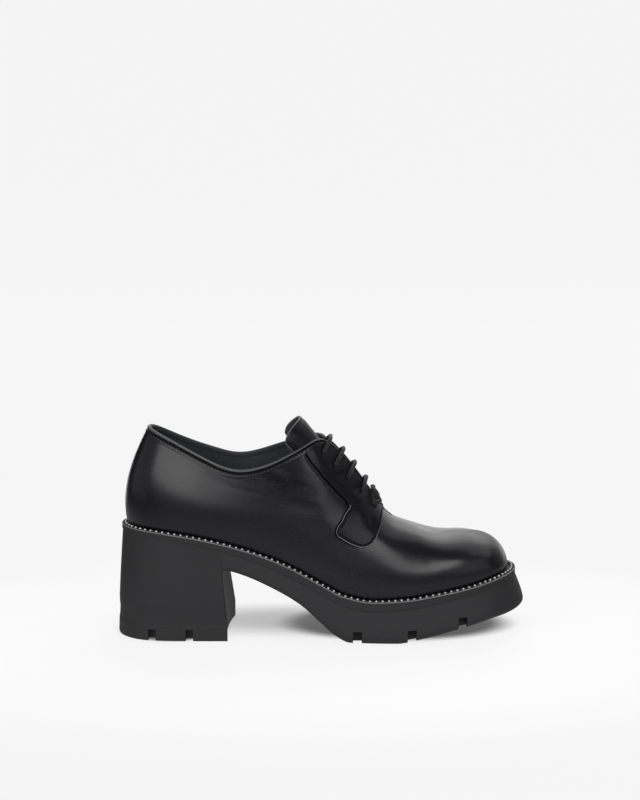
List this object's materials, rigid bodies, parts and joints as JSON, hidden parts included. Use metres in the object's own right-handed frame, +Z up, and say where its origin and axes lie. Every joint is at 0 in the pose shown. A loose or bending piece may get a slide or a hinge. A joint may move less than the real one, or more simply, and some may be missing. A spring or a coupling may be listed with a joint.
{
  "type": "derby shoe",
  "caption": "Right-foot lace-up derby shoe: hollow leather upper with sewn-on facings and tongue, bead trim round the welt, lugged platform sole and block heel.",
  "frame": {"origin": "middle of the bounding box, on the floor the sole stands on", "axes": "+X towards the toe, -Y towards the outer side of the foot, +Z up"},
  "size_m": [0.2574, 0.0904, 0.1368],
  "materials": {
    "sole_rubber": "matte",
    "upper_leather": "semi-gloss",
    "lining_leather": "matte",
    "bead_metal": "polished",
    "lace_cord": "braided"
  },
  "bodies": {
    "root": {"sole_unit": "sole_rubber", "heel_top_piece": "sole_rubber", "midsole": "sole_rubber", "bead_chain": "bead_metal", "insole": "lining_leather", "upper": "upper_leather", "eyestay_lateral": "upper_leather", "eyestay_medial": "upper_leather", "tongue": "upper_leather", "lace_bar_1": "lace_cord", "lace_bar_2": "lace_cord", "lace_bar_3": "lace_cord", "lace_bar_4": "lace_cord", "lace_bar_5": "lace_cord"}
  },
  "joints": []
}
